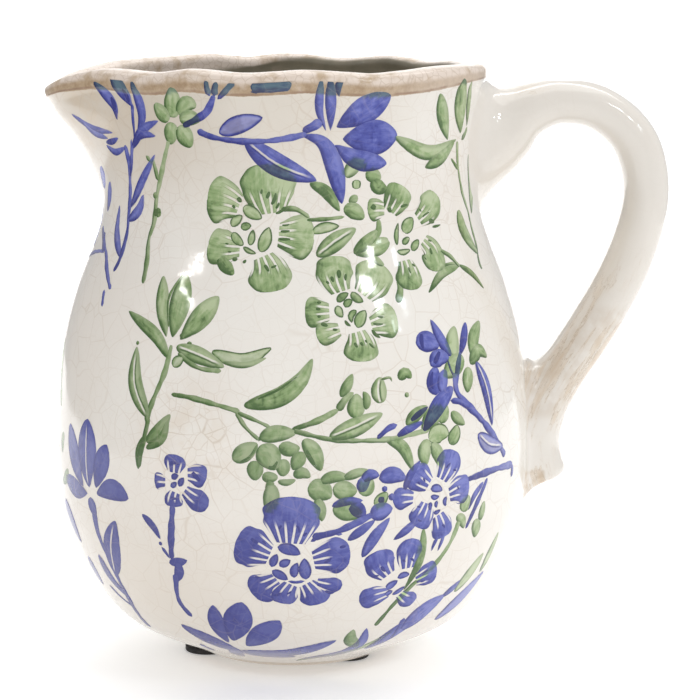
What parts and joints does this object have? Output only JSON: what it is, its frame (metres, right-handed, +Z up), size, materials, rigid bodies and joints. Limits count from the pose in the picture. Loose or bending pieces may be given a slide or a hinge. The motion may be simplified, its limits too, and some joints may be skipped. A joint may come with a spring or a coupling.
{
  "type": "ceramic pitcher",
  "caption": "Rounded ceramic pitcher with a flared neck, a pulled pouring spout, a wavy brown rim, a looped handle and a printed two-colour floral pattern, standing on small dark pads.",
  "frame": {"origin": "on the resting plane, level with the undersides of the pads, under the middle of the whole pitcher; the round vessel's own upright axis stands 21 mm from it towards -X", "axes": "+Z up along the vessel's axis, +X towards the handle, -X towards the pouring spout, -Y towards the printed face seen in the picture"},
  "size_m": [0.1972, 0.152, 0.1905],
  "materials": {
    "glazed_body": "glossy off-white crackle glaze with a blue and green floral print, a matt brown rim and a grey-brown inside",
    "glazed_handle": "glossy off-white crackle glaze with light brown stains",
    "dark_pad": "matt black"
  },
  "bodies": {
    "root": {"body": "glazed_body", "handle": "glazed_handle", "pad_spout_side": "dark_pad", "pad_handle_front": "dark_pad", "pad_handle_rear": "dark_pad"}
  },
  "joints": []
}
